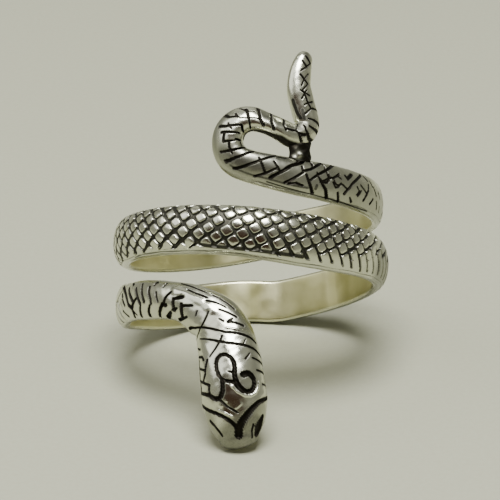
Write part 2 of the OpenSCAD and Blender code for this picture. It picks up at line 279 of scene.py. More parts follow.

# Places that stay black without a cut, some of oxide and some painted shade: (width, strength, [distance, offset, ...])
OXIDE_AND_SHADE_PATCHES = [
    # side of the tail's loop towards its eye
    (0.9, 1.0, [133.2, 1.75, 134, 1.6, 135, 1.55, 136, 1.3, 137, 1.05, 138, 0.9, 138.7, 1.0, 139.3, 1.4]),
    # foot of the upper turn under the cuts, and painted shade along the foot of the middle turn under the scales
    (0.24, 0.9, [125.6, -0.85, 127, -0.88, 129.5, -0.85, 131, -0.75]),
    (0.36, 0.95, [64.8, -1.45, 67, -1.45, 69, -1.47, 71, -1.42, 72, -1.3]),
    # crease where the tip leaves the bend, and the inside of the bend
    (0.30, 0.95, [140.7, -0.5, 141.5, -0.45]), (0.40, 0.7, [141.1, -0.9, 141.9, -0.85]),
    (0.9, 0.88, [139.1, -0.6, 139.9, -0.6]),
    # thin film over the snout and the cheeks, darkened further as a painted dark reflection
    (3.0, 0.78, [0.2, -0.9, 0.8, 0.3, 1.1, 1.2]), (1.8, 0.66, [1.0, -1.9, 2.2, -2.2]),
    (1.6, 0.58, [2.6, 1.9, 1.6, 2.2]),
    # thin film over the loop, the right ends of the middle and the upper turn, and the upper turn's front, darkened
    # further as a painted dark reflection
    (1.5, 0.72, [127.2, -0.4, 129.5, -0.5, 131.6, -0.5]), (3.8, 0.72, [50, -0.2, 56, -0.6]),
    (2.8, 0.60, [108, -0.3, 118, -0.5]), (2.6, 0.62, [119.5, -0.5, 122, -0.4, 126, -0.4, 131, -0.3]),
    (1.2, 0.80, [128.7, 0.55, 129.6, 0.2, 130.5, -0.2]),
    (1.0, 0.60, [130.2, -1.2, 131.5, -1.3, 132.8, -1.3, 134.0, -1.2]),
    # left edge at the foot of the tip
    (0.34, 0.97, [140.9, -0.75, 141.4, -0.88, 142.0, -0.92, 142.4, -0.92]),
    # crease lines under the middle and the upper turn, and a blot between the upper turn's cuts
    (0.12, 0.9, [70.5, -1.74, 72, -1.77, 73.5, -1.79, 75.2, -1.75, 77.3, -1.74, 79.0, -1.9]),
    (0.16, 1.0, [119.2, -1.40, 121, -1.44, 124, -1.36, 126.5, -1.2, 128.5, -1.1]),
    (0.30, 0.9, [124.95, -0.55, 125.0, -0.8]),
]


def nearest(s, v, pts):
    """Distance from each place to a run of straight legs, and how far along the run the nearest place lies (0 to 1)."""
    near, share = np.full(s.shape, 9.0), np.zeros(s.shape)
    legs = np.hypot(*np.diff(pts, axis=0).T)
    run_at = np.concatenate([[0], np.cumsum(legs)]) / legs.sum()
    for k in range(len(legs)):
        step = pts[k + 1] - pts[k]
        t = np.clip(((s - pts[k, 0]) * step[0] + (v - pts[k, 1]) * step[1]) / (step @ step), 0, 1)
        dist = np.hypot(s - pts[k, 0] - t * step[0], v - pts[k, 1] - t * step[1])
        share = np.where(dist < near, run_at[k] + t * (run_at[k + 1] - run_at[k]), share)
        near = np.minimum(near, dist)
    return near, share


def runs_near(table, s, v, reach):
    """Each row of a table whose run of places comes near the grid's rows: its values, those rows, the distance to the
    run and the share of its length."""
    for *values, run in table:
        places = np.array(run).reshape(-1, 2)
        far = reach(*values)
        a, b = np.searchsorted(s[:, 0], [places[:, 0].min() - far, places[:, 0].max() + far])
        if a < b:
            near, share = nearest(s[a:b], v[a:b], places)
            yield values, slice(a, b), near, share


def cut_strokes(s, v):
    """Height (mm) and blackness of the hand's work, by the distance to the nearest place of each run. A stroke is a
    groove whose wall eases up to the surface just past its half width, black inside, with faint oxide and painted
    shade beside it. A ridge is the same with the sign turned, and stays out of the strokes. A patch is black alone,
    some oxide and some painted shade, with a soft edge."""
    height, black = np.zeros_like(s), np.zeros_like(s)
    for (w0, w1, deep), at, near, share in runs_near(STROKES, s, v, lambda w0, w1, deep: 0.7 * max(w0, w1) + 0.1):
        # the width changes from end to end, with a hand's wobble along the edge of the cut
        half = (0.5 * (w0 + (w1 - w0) * share) + 0.02) * (1 + 0.10 * np.sin(23 * s[at] + 31 * v[at]))
        cut = np.minimum(deep, STEEPEST * half) * ease((WALL_END - near / half) / WALL_BROAD)
        height[at] = np.minimum(height[at], -cut)
        black[at] = np.maximum(black[at], ease((half * 1.12 + 0.03 - near) / 0.06 + 0.4))
        # painted shade: a faint black halo beside the cut, together with its oxide stain
        black[at] = np.maximum(black[at], OXIDE_SHADE_BLACK * ease((half + OXIDE_SHADE_HALO - near) / OXIDE_SHADE_HALO))
    for (width, tall), at, near, _ in runs_near(RIDGES, s, v, lambda width, tall: width):
        height[at] += tall * ease(1 - near / (0.5 * width)) * (1 - black[at])
    # black patches without a cut: oxide in some places, painted shade in others
    for (width, strength), at, near, _ in runs_near(OXIDE_AND_SHADE_PATCHES, s, v, lambda width, strength: width):
        soft = max(0.12, 0.4 * width)
        black[at] = np.maximum(black[at], strength * ease((width / 2 - near) / soft + 0.5))
    return height, black


# The two crossing families of scale rows, in steps of one scale: (per mm along, per mm across, at the front's middle,
# change with the lean, change with the bend)
ROWS_P = (0.90, -0.71, -0.38, -0.009, 0.00057)
ROWS_Q = (0.66, 0.91, -1.03, -0.011, 0.00026)
FRONT_MIDDLE = 70


def scale_lattice(s, v):
    """Steps p and q along the two families of rows: straight lines in s and v that lean with the product of the two
    and bend by the cube of s, or by its tangent beyond 10 mm from the front's middle."""
    u = s - FRONT_MIDDLE
    bend = np.where(np.abs(u) < 10, u ** 3, np.sign(u) * (300 * np.abs(u) - 2000))
    lean = np.clip(u, -12, 12) * v
    return [a * u + b * v + c + d * lean + e * bend for a, b, c, d, e in (ROWS_P, ROWS_Q)]


def wobble(a, b, seed):
    """A repeatable value from -1 to 1 for each whole pair (a, b): twice the fraction of a large sine, less one."""
    x = np.sin(a * 127.1 + b * 311.7 + seed * 74.7) * 43758.5
    return 2 * (x - np.floor(x)) - 1


# Where the rows end under the crown: (distance, end of the pads, end of the ticks, half size of a pad)
SCALE_EDGE = np.array([
    [18, -0.5, -1.45, 0.40], [40, -0.4, -1.5, 0.38], [56, -0.35, -1.62, 0.385], [60, -0.5, -1.66, 0.39],
    [64, -0.8, -1.68, 0.385], [66, -1.25, -1.62, 0.385], [71, -1.3, -1.55, 0.385], [73, -1.15, -1.5, 0.375],
    [76, -1.2, -1.5, 0.375], [80, -1.4, -1.65, 0.37], [84, -1.7, -1.75, 0.365], [100, -1.4, -1.5, 0.38],
    [120, -1.0, -1.3, 0.37]], float)
# Height of a pad at the front's middle, what it loses past the middle, and the depth of the groove round it (mm)
PAD_TALL, PAD_LOSS, SCALE_DEEP = 0.034, 0.02, 0.17


def cut_scales(s, v):
    """Height and blackness of the scale rows: a rounded square pad in each cell, by the fourth-power norm of the offset
    from its middle, with a groove round it. Under the pads only one family of grooves goes on, as ticks."""
    p, q = scale_lattice(s, v)
    i, j = np.round(p), np.round(q)
    # each pad's place and size vary a little
    dp = p - i - 0.07 * wobble(i, j, 1)
    dq = q - j - 0.07 * wobble(i, j, 2)
    size = smooth(SCALE_EDGE, s, 3) * (1 + 0.07 * wobble(i, j, 3))
    foot = ease((smooth(SCALE_EDGE, s, 1) + 0.12 * wobble(i, j, 5) - v) / 0.3)
    size = size * (1 - 0.07 * foot)
    # before the front's middle the p grooves go on under the pads, past it the q grooves
    turn = ease((s - 71.5) / 1.5) * ease((100 - s) / 4)
    keep_p, keep_q = 1 - foot * turn, 1 - foot * (1 - turn)
    # towards the right end of the front the rows part along the crown, as in a fishbone
    part = ease((60.5 - s) / 2.5)
    keep_p = keep_p * (1 - part * ease((v - 0.1) / 0.5))
    keep_q = keep_q * (1 - part * ease((0.1 - v) / 0.4))
    r = (keep_p * (np.abs(dp) / size) ** 4 + keep_q * (np.abs(dq) / size) ** 4) ** 0.25
    # past the middle the scales are flatter, from wear
    far = ease((s - 76) / 5)
    groove = ease((r - 0.92) / 0.24) * (1 - 0.5 * far)
    black = ease((r - 0.89) / 0.11)
    pad = (PAD_TALL - PAD_LOSS * far) * (1 - 0.9 * np.clip(r, 0, 1) ** 3)
    ends = ease((v - smooth(SCALE_EDGE, s, 2) + 0.13 * wobble(j, j, 4)) / 0.14 + 0.5) * ease((2.6 - v) / 0.3)
    fade = ends * ease((s - 18.5) / 2.5) * ease((118.0 - s) / 4.5)
    return (pad - SCALE_DEEP * groove) * fade, 0.95 * black * ease(1.6 * fade - 0.2)


def rim_line(s, e):
    """Depth and blackness of the fine line that the mould left along the foot of the back, by the length e from the
    back's edge: a groove 0.05 mm deep at 0.4 mm, which wavers by sines of s."""
    on = ease((s - 24) / 4) * ease((131 - s) / 3)
    waver = 0.5 + 0.5 * np.sin(1.7 * s) * np.sin(0.61 * s + 1)
    line = ease(1.3 - np.abs(e - 0.40 - 0.03 * np.sin(2.1 * s)) / 0.05)
    return 0.05 * line * on, (0.35 + 0.6 * waver) * line * on


# Bands of painted reflection across the inner face: (distance, half width, how far it is painted paler, or duller where
# negative)
INSIDE_REFLECTION_BANDS = [(36.6, 1.2, 0.35), (38.2, 0.6, -0.6), (39.8, 0.8, 0.6), (42.4, 1.8, -0.4), (45.4, 0.5, 1.0),
              (47.2, 0.8, -0.4), (49.6, 1.6, -0.6), (57, 1.5, 0.5), (71.5, 2.5, 0.3), (88, 2.0, 0.3),
              (95.5, 1.2, -0.4), (100, 3, 0.3)]


def inside_reflection(s):
    """How pale the painted reflection on the inner face is: half, plus a bell curve for each band."""
    return np.clip(0.5 + sum(k * np.exp(-((s - at) / half) ** 2) for at, half, k in INSIDE_REFLECTION_BANDS), 0, 1)


def lumps(s, v):
    """Slow unevenness of the hand-finished casting: products of sines 0.7 to 4 mm long, strongest on the head."""
    tall = 0.014 - 0.010 * ease((s - 16) / 6) + 0.006 * ease((s - 118) / 4)
    return tall * (np.sin(1.9 * s + 1.3 * v + 0.4) * np.sin(2.4 * v - 0.7 * s)
                   + 0.5 * np.sin(4.3 * s + 0.5) * np.sin(3.9 * v + 1.1)
                   + 0.3 * np.sin(8.7 * s + 2.9 * v) * np.sin(7.9 * v - 3.3 * s + 0.8))


def relief(s, v, e):
    """Outward height (mm) and blackness of the whole back: the scales, strokes, rim's line and lumps added up, and the
    blackest of them."""
    scales, dark = cut_scales(s, v)
    strokes, black = cut_strokes(s, v)
    line, soot = rim_line(s, e)
    return scales + strokes - line + lumps(s, v), np.maximum(np.maximum(dark, black), soot)


# ---------------------------------------------------------------- the casting's surface

# Lengths over which the snout and the tail tip are rounded (mm)
SNOUT_ROUND, TIP_ROUND = 0.7, 0.8

# The dressed neck is narrower along its lower side than the plain one, and the tail tip a little wider:
# (distance, added width, shift of its middle towards positive v)
TRIM = np.array([
    [0, 0, 0], [10.9, 0, 0], [12.0, -0.35, 0.17], [13.2, -0.70, 0.35], [17, -0.65, 0.32], [19.5, -0.4, 0.2],
    [22.5, 0, 0], [139.5, 0, 0], [141.5, 0.15, -0.09], [143.0, 0.18, -0.08], [144.3, 0.24, 0.0], [145.95, 0.20, 0.08]])


def nose(s):
    """Share of its full size that a section has near the ends: a quarter ellipse over the snout's and the tip's
    rounding. At the very end a fiftieth is left, a small ring that a fan of triangles closes."""
    t = np.clip(np.minimum(s / SNOUT_ROUND, (LENGTH - s) / TIP_ROUND), 0.0002, 1)
    return np.sqrt(1 - (1 - t) ** 2)


def sizes(s):
    """Width, height of the back and nose share at s."""
    held = np.minimum(s, LENGTH - TIP_ROUND)
    return smooth(BODY, held, 1) + smooth(TRIM, s, 1), smooth(BODY, held, 2), nose(s)


def skew(s):
    """How far the back leans towards the eye of the tail's loop, which has a raised lip: the share of its height that
    the side of positive v gains and the other side loses."""
    return 0.34 * ease((s - 126) / 3) * ease((139.2 - s) / 2)


def profile(s, n_back, n_side, n_in, ring):
    """Closed section at each s, as offsets x (positive as v) and z outward, with its black of oxide and painted shade,
    and its share of inner face.
    It is half an ellipse for the back over a side wall, leaned by the skew and raised along its normal by the relief,
    then quarter ellipses to the inner face, and the flat inner face."""
    phi = np.radians(np.linspace(90, -90, n_back))[None, :]
    w, t, share = (a[:, None] for a in sizes(s))
    edge = np.minimum(ring.rim_h, t / 2)
    cut = np.minimum(ring.inner_round, w / 5)
    x, z = w / 2 * np.sin(phi), edge + (t - edge) * np.cos(phi) * (1 + skew(s)[:, None] * np.sin(phi))
    nx, nz = (t - edge) * np.sin(phi), w / 2 * np.cos(phi)
    n = np.hypot(nx, nz)
    nx, nz = nx / n, nz / n
    arc_len = np.concatenate([0 * w, np.cumsum(np.hypot(np.diff(x, axis=1), np.diff(z, axis=1)), axis=1)], 1)
    v = arc_len[:, -1:] / 2 - arc_len
    side = arc_len[:, -1:] / 2
    # the neck's marks stay where they are while its middle shifts
    moved = np.where(s < 100, smooth(TRIM, s, 2), 0)[:, None]
    lift, black = relief(s[:, None] + 0 * v, v + moved, side + v)
    # near the edges and the ends the relief sinks away, so the outline stays whole
    calm = ease((side - np.abs(v)) / 0.25) * ease(np.minimum(s, LENGTH - s) / 0.5)[:, None]
    lift = lift * calm
    x, z = x + nx * lift, z + nz * lift
    q = np.radians(np.linspace(0, 90, n_side + 1))[None, 1:]
    rx, rz = w / 2 - cut + cut * np.cos(q), edge * 0.85 * (1 - np.sin(q))
    flat = np.linspace(-1, 1, n_in + 1)[None, 1:-1] * (w / 2 - cut)
    X = np.concatenate([x, -rx, flat, rx[:, ::-1]], 1)
    Z = np.concatenate([z, rz, 0 * flat, rz[:, ::-1]], 1)
    # the loop's side wall towards its eye is black down to the inner edge
    down = np.linspace(0, 1, n_side)[None, :]
    wall = (ease((s - 133) / 0.5) * ease((139.6 - s) / 0.3))[:, None] * (1 - down ** 3)
    oxide_and_shade = np.concatenate([black, 0 * rx, 0 * flat, wall[:, ::-1]], 1)
    inside = np.concatenate([0 * v, down + 0 * w, 0 * flat + 1, down[:, ::-1] + 0 * w], 1)
    # near the ends the section shrinks towards a line at two fifths of its height
    mid = 0.4 * t
    return X * share, mid + (Z - mid) * share, oxide_and_shade, inside


def wrap(ring, along, up, z):
    """Flat place and height over the finger, bent round it: along over the wrap radius is the angle, the finger's
    radius plus z the distance from its axis. Then leaned back and moved into the part's frame (mm)."""
    psi = along / ring.wrap_r
    rho = ring.finger_r + z
    x, y, h = -rho * np.sin(psi), -rho * np.cos(psi), up + 0 * psi
    c, s = math.cos(ring.lean), math.sin(ring.lean)
    return np.stack([x, y * c + h * s, h * c - y * s], -1) + np.array(ring.hole_at)


def casting(ring, s, n_back, n_side=5, n_in=9):
    """Grid of points, black of oxide and painted shade, and share of inner face for the sections at s: each stands
    square on the middle line.
    """
    X, Z, oxide_and_shade, inside = profile(s, n_back, n_side, n_in, ring)
    a, h, th = middle(s)
    th = np.radians(th)[:, None]
    X = X + smooth(TRIM, s, 2)[:, None]
    P = wrap(ring, a[:, None] - X * np.sin(th), h[:, None] + X * np.cos(th), Z)
    return P, oxide_and_shade, inside


def rows(*stretches):
    """Distances of the sections: each stretch is (from, to, step), and the last one's end is kept."""
    parts = [np.linspace(a, b, int(round((b - a) / d)) + 1)[:-1] for a, b, d in stretches]
    return np.concatenate(parts + [[stretches[-1][1]]])


def grid_normals(P):
    """Unit normals of a grid closed across, outward: the cross product of the steps along and across it."""
    across = np.roll(P, -1, 1) - np.roll(P, 1, 1)
    along = np.gradient(P, axis=0)
    n = np.cross(along, across)
    return n / np.maximum(np.linalg.norm(n, axis=-1, keepdims=True), 1e-12)


def tube_mesh(name, P, normals, layers):
    """Closed mesh from a grid of sections, its faces outward: quads between neighbours, and a fan over each end's
    middle point, whose normal looks along the tube. Layers are values at the grid's points."""
    rows_n, cols = P.shape[:2]
    ends = np.stack([P[0].mean(0), P[-1].mean(0)])
    points = np.concatenate([P.reshape(-1, 3), ends]) * MM
    i = np.arange(rows_n - 1)[:, None] * cols
    j = np.arange(cols)[None, :]
    k = (j + 1) % cols
    quads = np.stack([i + j, i + cols + j, i + cols + k, i + k], -1).reshape(-1, 4)
    j, k = j[0], k[0]
    first = np.stack([0 * j + rows_n * cols, j, k], -1)
    last = np.stack([0 * j + rows_n * cols + 1, (rows_n - 1) * cols + k, (rows_n - 1) * cols + j], -1)
    loops = np.concatenate([quads.ravel(), first.ravel(), last.ravel()])
    counts = np.concatenate([np.full(len(quads), 4), np.full(2 * cols, 3)])
    starts = np.concatenate([[0], np.cumsum(counts)[:-1]])
    mesh = bpy.data.meshes.new(name)
    mesh.vertices.add(len(points))
    mesh.vertices.foreach_set("co", points.ravel())
    mesh.loops.add(len(loops))
    mesh.loops.foreach_set("vertex_index", loops.astype(np.int32))
    mesh.polygons.add(len(counts))
    mesh.polygons.foreach_set("loop_start", starts.astype(np.int32))
    mesh.update(calc_edges=True)
    mesh.validate()
    for key, grid in layers.items():
        layer = mesh.attributes.new(key, "FLOAT", "POINT")
        layer.data.foreach_set("value", np.concatenate([grid.ravel(), [0, 0]]).astype(np.float32))
    along = np.stack([P[0].mean(0) - P[1].mean(0), P[-1].mean(0) - P[-2].mean(0)])
    along /= np.linalg.norm(along, axis=1, keepdims=True)
    mesh.shade_smooth()
    mesh.normals_split_custom_set_from_vertices(np.concatenate([normals.reshape(-1, 3), along]).tolist())
    return mesh


def add_piece(name, mesh, material):
    """Put a mesh into the scene at the origin, riding on the ring's one body and standing for its solid."""
    piece = bpy.data.objects.new(name, mesh)
    bpy.context.scene.collection.objects.link(piece)
    mesh.materials.append(material)
    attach(piece, "root")
    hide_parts("snake_ring")


def snake_stretch(ring, name, stretches, n_back, material):
    """A length of the snake, with n_back points over its back. Its normals are worked out with one section more beyond
    each end, so that it meets its neighbours without a seam. At the snout and the tip they point along the body."""
    s = rows(*stretches)
    more = np.concatenate([[max(2 * s[0] - s[1], 0)], s, [min(2 * s[-1] - s[-2], LENGTH)]])
    P, oxide_and_shade, inside = casting(ring, more, n_back)
    N = grid_normals(P)
    for end, k, inner in ((0, 1, 4), (LENGTH, -2, -5)):
        if more[k] == end:
            way = P[k].mean(0) - P[inner].mean(0)
            N[k] = way / np.linalg.norm(way)
    keep = slice(1, -1)
    # the inner face's painted reflection goes in a layer of its own, in bands along the body
    layers = {"oxide_and_shade": oxide_and_shade[keep], "inside": inside[keep], "inside_reflection": inside_reflection(s)[:, None] + 0 * inside[keep]}
    add_piece(name, tube_mesh(name, P[keep], N[keep], layers), material)


# ---------------------------------------------------------------- materials

def linear(hex_colour):
    """sRGB hex to linear RGBA."""
    parts = [int(hex_colour[i:i + 2], 16) / 255 for i in (1, 3, 5)]
    return [p / 12.92 if p <= 0.04045 else ((p + 0.055) / 1.055) ** 2.4 for p in parts] + [1.0]


def add_node(tree, kind, settings=(), values=(), links=()):
    """Add one node: settings are its own properties, values its inputs, links (input, node, output)."""
    node = tree.nodes.new(kind)
    for key, value in dict(settings).items():
        setattr(node, key, value)
    for key, value in dict(values).items():
        node.inputs[key].default_value = value
    for key, other, out in links:
        tree.links.new(other.outputs[out], node.inputs[key])
    return node


def new_material(name):
    """An empty node material and its tree."""
    mat = bpy.data.materials.new(name)
    mat.use_nodes = True
    mat.node_tree.nodes.clear()
    return mat, mat.node_tree


SILVER = "cast_silver_oxidised_polished"


def oxidised_silver(colours):
    """Cast sterling silver, blackened in its grooves and polished off the high places: a bright metal with broad, soft
    lights on the scales, thin yellowish film between them, and black that is half matt. The black also holds painted
    shade, and the inner face a painted reflection in bands."""
    mat, t = new_material(SILVER)
    coords = add_node(t, "ShaderNodeTexCoord")
    oxide_and_shade = add_node(t, "ShaderNodeAttribute", {"attribute_name": "oxide_and_shade"})
    inside = add_node(t, "ShaderNodeAttribute", {"attribute_name": "inside"})
    # cloudy film left by the polishing cloth, patches about 1.5 mm across
    cloud = add_node(t, "ShaderNodeTexNoise", {}, {"Scale": 700.0, "Detail": 2.0, "Roughness": 0.5},
                     [("Vector", coords, "Object")])
    # fine grain of the casting and small scratches, about 0.08 mm, drawn coarse enough to show
    grain = add_node(t, "ShaderNodeTexNoise", {}, {"Scale": 9000.0, "Detail": 3.0, "Roughness": 0.7},
                     [("Vector", coords, "Object")])
    # the black of the oxide and of the painted shade: as deep as its layer, broken up a little by the grain
    black = add_node(t, "ShaderNodeMath", {"operation": "MULTIPLY_ADD", "use_clamp": True}, {1: 0.5, 2: -0.2},
                     [(0, grain, "Fac")])
    black = add_node(t, "ShaderNodeMath", {"operation": "ADD", "use_clamp": True}, {},
                     [(0, oxide_and_shade, "Fac"), (1, black, "Value")])
    black = add_node(t, "ShaderNodeMath", {"operation": "MULTIPLY", "use_clamp": True}, {},
                     [(0, black, "Value"), (1, oxide_and_shade, "Fac")])
    film = add_node(t, "ShaderNodeMix", {"data_type": "RGBA"},
                    {"A": linear(colours.silver), "B": linear(colours.film)}, [("Factor", cloud, "Fac")])
    # the inner face: painted reflection, a dull yellow tone with paler bands across it
    bands = add_node(t, "ShaderNodeAttribute", {"attribute_name": "inside_reflection"})
    spread = add_node(t, "ShaderNodeMath", {"operation": "MULTIPLY_ADD"}, {1: 0.7, 2: -0.35}, [(0, cloud, "Fac")])
    bands = add_node(t, "ShaderNodeMath", {"operation": "ADD", "use_clamp": True}, {},
                     [(0, bands, "Fac"), (1, spread, "Value")])
    band = add_node(t, "ShaderNodeMix", {"data_type": "RGBA"},
                    {"A": linear(colours.inside_dull_reflection), "B": linear(colours.inside_pale_reflection)}, [("Factor", bands, "Value")])
    film = add_node(t, "ShaderNodeMix", {"data_type": "RGBA"}, {},
                    [("Factor", inside, "Fac"), ("A", film, "Result"), ("B", band, "Result")])
    colour = add_node(t, "ShaderNodeMix", {"data_type": "RGBA"}, {"B": linear(colours.oxide)},
                      [("Factor", black, "Value"), ("A", film, "Result")])
    # roughness: polished where the cloud is thin, duller in the film, in the black and on the inner face
    rough = add_node(t, "ShaderNodeMapRange", {}, {"From Min": 0.3, "From Max": 0.75, "To Min": 0.15, "To Max": 0.28},
                     [("Value", cloud, "Fac")])
    rough = add_node(t, "ShaderNodeMix", {"data_type": "FLOAT"}, {"B": 0.5},
                     [("Factor", black, "Value"), ("A", rough, "Result")])
    rough = add_node(t, "ShaderNodeMath", {"operation": "MULTIPLY_ADD"}, {1: 0.14},
                     [(0, inside, "Fac"), (2, rough, "Result")])
    bump = add_node(t, "ShaderNodeBump", {}, {"Strength": 0.25, "Distance": 0.00001}, [("Height", grain, "Fac")])
    shader = add_node(t, "ShaderNodeBsdfPrincipled", {}, {"Metallic": 1.0},
                      [("Base Color", colour, "Result"), ("Roughness", rough, "Value"), ("Normal", bump, "Normal")])
    add_node(t, "ShaderNodeOutputMaterial", {}, {}, [("Surface", shader, "BSDF")])
    return mat


def studio_paper(colours):
    """Matt seamless paper: pale warm grey with a faint tooth."""
    mat, t = new_material("seamless_paper_matt")
    coords = add_node(t, "ShaderNodeTexCoord")
    tooth = add_node(t, "ShaderNodeTexNoise", {}, {"Scale": 2500.0, "Detail": 3.0}, [("Vector", coords, "Object")])
    colour = add_node(t, "ShaderNodeMix", {"data_type": "RGBA"},
                      {"A": linear(colours.paper), "B": linear(colours.paper_low)}, [("Factor", tooth, "Fac")])
    shader = add_node(t, "ShaderNodeBsdfPrincipled", {}, {"Roughness": 0.9, "Specular IOR Level": 0.2},
                      [("Base Color", colour, "Result")])
    add_node(t, "ShaderNodeOutputMaterial", {}, {}, [("Surface", shader, "BSDF")])
    return mat


def silver_material(colours):
    """The one silver of all pieces, made when the first of them asks for it."""
    return bpy.data.materials.get(SILVER) or oxidised_silver(colours)


# ---------------------------------------------------------------- properties

class RingSizes(bpy.types.PropertyGroup):
    """Sizes of the casting, in millimetres as in the part's source."""
    finger_r: bpy.props.FloatProperty(
        name="Finger radius", description="Radius of the finger hole (mm)", default=9.1)
    wrap_r: bpy.props.FloatProperty(
        name="Wrap radius", description="Radius at which flat lengths are true (mm)", default=9.7)
    rim_h: bpy.props.FloatProperty(
        name="Side wall", description="Height of the plain side wall (mm)", default=0.35)
    inner_round: bpy.props.FloatProperty(
        name="Inner rounding", description="Rounding of the inner edges (mm)", default=0.28)
    lean: bpy.props.FloatProperty(
        name="Lean", description="How far the finger axis leans back", default=math.radians(33.3),
        subtype="ANGLE", unit="ROTATION")
    hole_at: bpy.props.FloatVectorProperty(
        name="Hole's place", description="Middle of the finger hole (mm)", size=3, default=(0.025, 3.355, 8.656))


class RingColours(bpy.types.PropertyGroup):
    """Colours as sRGB hex."""
    silver: bpy.props.StringProperty(name="Silver", description="Polished silver", default="#D8D9CB")
    film: bpy.props.StringProperty(name="Film", description="Silver under a thin film", default="#BFC0A8")
    # painted reflection on the inner face: its dull yellow tone, and the pale tone of its bands
    inside_dull_reflection: bpy.props.StringProperty(
        name="Film inside", description="Yellow film on the inner face", default="#A8A578")
    inside_pale_reflection: bpy.props.StringProperty(
        name="Rubbed inside", description="Inner face where the finger has rubbed it", default="#DCD9B0")
    oxide: bpy.props.StringProperty(name="Oxide", description="Blackened grooves", default="#1F1D18")
    paper: bpy.props.StringProperty(name="Paper", description="Floor", default="#A0A18D")
    paper_low: bpy.props.StringProperty(name="Paper, low", description="Floor between its fibres", default="#989985")


# ---------------------------------------------------------------- operators

# Where one piece of the snake ends and the next begins, by distance from the snout (mm)
NAPE, NECK_END, FRONT_FROM, FRONT_TO, TAIL_FROM = 11.2, 22, 54, 86, 116


class RING_OT_head(bpy.types.Operator):
    """Engraved head and nape, from the snout to the first turn"""
    bl_idname = "ring.snake_head"
    bl_label = "Snake's head"

    def execute(self, context):
        ring, colours = context.scene.ring_sizes, context.scene.ring_colours
        snake_stretch(ring, "snake_head", [(0, 0.06, 0.005), (0.06, 0.9, 0.02), (0.9, NAPE, 0.038)], 221,
                      silver_material(colours))
        return {"FINISHED"}


class RING_OT_turns(bpy.types.Operator):
    """The two turns of the band, and the third with the tail's loop and tip"""
    bl_idname = "ring.snake_turns"
    bl_label = "Snake's turns"

    def execute(self, context):
        ring, colours = context.scene.ring_sizes, context.scene.ring_colours
        silver = silver_material(colours)
        snake_stretch(ring, "snake_neck", [(NAPE, NECK_END, 0.045)], 151, silver)
        # the low turn and the back carry no hand's work, so their sections are coarser
        snake_stretch(ring, "snake_turn_low", [(NECK_END, FRONT_FROM, 0.09)], 91, silver)
        snake_stretch(ring, "snake_turn_front", [(FRONT_FROM, FRONT_TO, 0.05)], 125, silver)
        snake_stretch(ring, "snake_turn_back", [(FRONT_TO, TAIL_FROM, 0.09)], 91, silver)
        snake_stretch(ring, "snake_tail", [(TAIL_FROM, LENGTH - 0.6, 0.045), (LENGTH - 0.6, LENGTH - 0.06, 0.02),
                                           (LENGTH - 0.06, LENGTH, 0.005)], 117, silver)
        return {"FINISHED"}


# The bridge's middle (along, up), its half width, its half length up the finger, and its middle and half height over
# the inner face (mm)
BRIDGE_AT, BRIDGE_HALF, BRIDGE_UP, BRIDGE_Z, BRIDGE_TALL = (118.2, 5.72), 1.05, 0.9, 0.5, 0.45


def bridge_grid(ring):
    """Grid of the bridge's points and its oxide. It is a squat post up the finger: rings of angle th at k from its
    upper end (0) to its lower (pi), at the height of the cosine of k, swollen by the 0.3rd power of its sine so that
    the ends are blunt. The waist is drawn in by the fourth power of the sine, and small waves make it uneven. It is
    black but for one bare, polished spot, a bell curve in the angle's cosine and in k."""
    th = np.linspace(0, 2 * np.pi, 48, endpoint=False)[None, :]
    k = np.linspace(0.001, np.pi - 0.001, 33)[:, None]
    blunt = np.sin(k) ** 0.3
    r = BRIDGE_HALF * blunt * (1 - 0.22 * np.sin(k) ** 4) * (1 + 0.05 * np.sin(5 * k + 1) * np.cos(3 * th))
    along = BRIDGE_AT[0] + r * np.cos(th)
    up = BRIDGE_AT[1] + BRIDGE_UP * np.cos(k) + 0 * th
    z = BRIDGE_Z + (BRIDGE_TALL + 0.08 * np.sin(7 * k) * np.cos(4 * th)) * blunt * np.sin(th)
    oxide_and_shade = 1 - 0.5 * np.exp(-((np.cos(th) - 0.35) / 0.25) ** 2 - ((k - 2.1) / 0.4) ** 2)
    return wrap(ring, along, up, z), oxide_and_shade


class RING_OT_bridge(bpy.types.Operator):
    """Bead of metal that joins the tail's bend to the band"""
    bl_idname = "ring.tail_bridge"
    bl_label = "Tail's bridge"

    def execute(self, context):
        ring, colours = context.scene.ring_sizes, context.scene.ring_colours
        P, oxide_and_shade = bridge_grid(ring)
        N = grid_normals(P)
        layers = {"oxide_and_shade": oxide_and_shade, "inside": 0 * oxide_and_shade, "inside_reflection": 0 * oxide_and_shade}
        add_piece("tail_bridge", tube_mesh("tail_bridge", P, N, layers), silver_material(colours))
        return {"FINISHED"}


# ---------------------------------------------------------------- studio

# Half the floor's width (m)
FLOOR_HALF = 1.5
# Round area lights, all turned to one place: (name, place, width, power), in metres and watts
SOFTBOXES = [
    ("softbox_top", (0.0, -0.08, 0.44), 0.27, 4.6),
    ("softbox_left", (-0.315, -0.045, 0.325), 0.40, 0.66),
]
LIT_AT = (0, 0, 0.01)
# The camera's focal length and sensor width (mm)
LENS, SENSOR = 209.0, 36.0
# Its distance (m), how far it looks down (degrees), and how far left of the hole's middle it aims (mm)
CAMERA_AWAY, CAMERA_DOWN, AIM_LEFT = 0.220, 22.7, 0.0758
# The room, by the direction that a reflection comes from: its low and its high tone, then the walls laid over them as
# (direction, chord from it within which the wall is whole, chord at which it ends, tone)
ROOM_LOW, ROOM_HIGH = "#AEAEA0", "#66665E"
WALLS = [
    # pale walls behind the ring, on its left and on its right
    ((-0.1, 0.70, 0.70), 0.12, 0.55, "#E0E0D4"),
    ((-0.74, 0.25, 0.62), 0.15, 0.50, "#D6D6CA"),
    ((0.70, -0.15, 0.70), 0.10, 0.45, "#A8A89C"),
    # the dark of the room behind the camera
    ((-0.20, -0.94, 0.27), 0.42, 0.74, "#432F22"),
]


